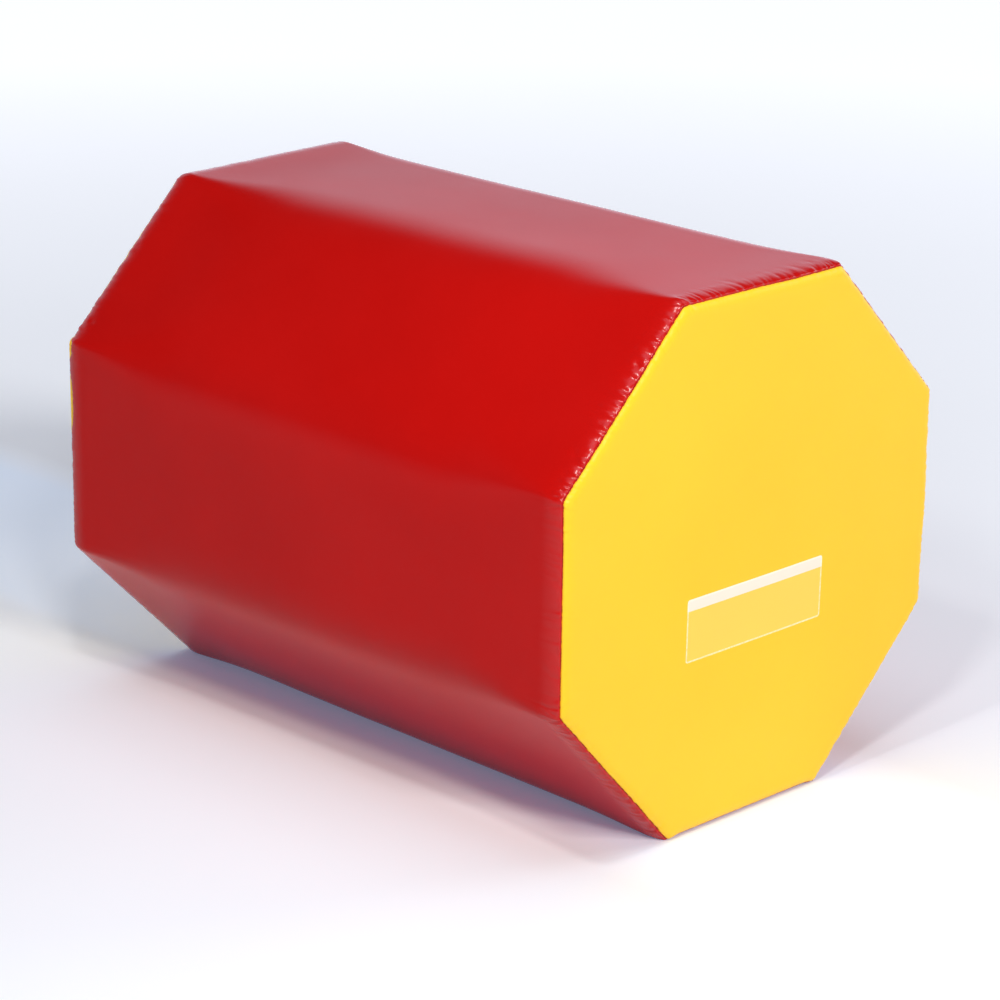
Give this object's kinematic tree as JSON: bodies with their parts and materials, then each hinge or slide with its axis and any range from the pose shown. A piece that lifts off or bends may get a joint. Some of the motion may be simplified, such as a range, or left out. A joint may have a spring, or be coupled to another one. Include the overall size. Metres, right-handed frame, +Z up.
{
  "type": "octagonal tumbling barrel",
  "caption": "Octagonal gymnastics tumbling barrel: a laminated foam core in a glossy red vinyl wrap with yellow end panels, with a flap-covered zip along its back.",
  "frame": {"origin": "middle of the flat side that the barrel rests on", "axes": "+X along the barrel towards the right end panel, +Z up, +Y towards the side with the zip"},
  "size_m": [1.016, 0.7712, 0.762],
  "materials": {
    "soft_foam": "matte",
    "firm_foam": "matte",
    "red_vinyl": "gloss",
    "yellow_vinyl": "satin",
    "thread": "satin",
    "zip_nylon": "satin",
    "zip_metal": "satin"
  },
  "bodies": {
    "barrel": {"core_slab_1": "soft_foam", "core_slab_2": "soft_foam", "core_slab_3": "soft_foam", "core_slab_4": "soft_foam", "core_slab_5": "soft_foam", "core_slab_6": "soft_foam", "board_back": "firm_foam", "board_back_upper": "firm_foam", "board_top": "firm_foam", "board_front_upper": "firm_foam", "board_front": "firm_foam", "board_front_lower": "firm_foam", "board_bottom": "firm_foam", "board_back_lower": "firm_foam", "side_wrap": "red_vinyl", "end_panel_right": "yellow_vinyl", "end_panel_left": "yellow_vinyl", "seam_thread_right": "thread", "seam_thread_left": "thread", "zip_tape_upper": "zip_nylon", "zip_tape_lower": "zip_nylon", "zip_coil_upper": "zip_nylon", "zip_coil_lower": "zip_nylon", "zip_closed_stops": "zip_metal", "zip_open_stop": "zip_metal", "zip_end_tab_right": "red_vinyl", "zip_end_tab_left": "red_vinyl", "zip_topstitching": "thread", "flap_sewn_strip": "red_vinyl", "flap_topstitching": "thread"},
    "flap": {"zip_flap": "red_vinyl"},
    "slider": {"zip_slider": "zip_metal"},
    "pull_tab": {"zip_pull": "zip_metal"}
  },
  "joints": [
    {"name": "slider_run", "type": "slide", "parent": "barrel", "child": "slider", "axis": [-1, 0, 0], "range_m": [0, 0.856]},
    {"name": "pull_swing", "type": "hinge", "parent": "slider", "child": "pull_tab", "pos_m": [0.4285, 0.38585, 0.272], "axis": [0, 0, -1], "range_deg": [0, 180]},
    {"name": "flap_lift", "type": "hinge", "parent": "barrel", "child": "flap", "pos_m": [0, 0.38165, 0.3], "axis": [1, 0, 0], "range_deg": [0, 120]}
  ]
}
